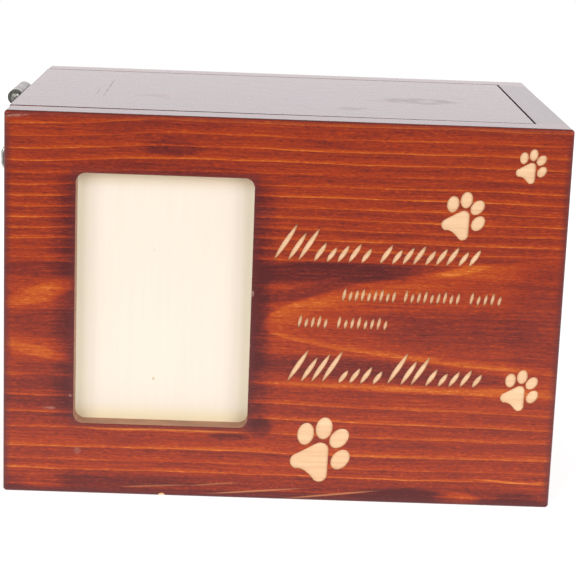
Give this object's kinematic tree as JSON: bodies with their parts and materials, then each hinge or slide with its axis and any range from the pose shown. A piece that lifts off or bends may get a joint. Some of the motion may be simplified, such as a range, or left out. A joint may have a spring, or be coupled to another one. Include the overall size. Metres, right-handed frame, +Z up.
{
  "type": "cremation urn box",
  "caption": "Stained wooden memorial box for ashes with a flush lift-off lid, a photo window, carved paw prints and stroke rows, and a small hasp on its end.",
  "frame": {"origin": "centre of the box's underside, on the surface it stands on", "axes": "+X to the right as seen from the front, +Y from the front to the back, +Z up"},
  "size_m": [0.2108, 0.14, 0.14],
  "materials": {
    "stained_pine": "red-brown stained softwood under semi-gloss lacquer",
    "bare_wood": "pale bare wood, matt",
    "antique_bronze": "dark antique plating, worn at its edges"
  },
  "bodies": {
    "box": {"front_board": "stained_pine", "back_board": "stained_pine", "left_end_board": "stained_pine", "right_end_board": "stained_pine", "bottom_board": "stained_pine", "lid": "stained_pine", "photo_backing": "bare_wood", "hasp_leaf": "antique_bronze", "hasp_pin": "antique_bronze", "hasp_staple": "antique_bronze", "leaf_screw_1": "antique_bronze", "leaf_screw_2": "antique_bronze", "staple_screw_1": "antique_bronze", "staple_screw_2": "antique_bronze"},
    "tongue": {"hasp_tongue": "antique_bronze"}
  },
  "joints": [
    {"name": "tongue_swing", "type": "hinge", "parent": "box", "child": "tongue", "pos_m": [-0.1035, 0, 0.137], "axis": [0, 1, 0], "range_deg": [0, 220]}
  ]
}
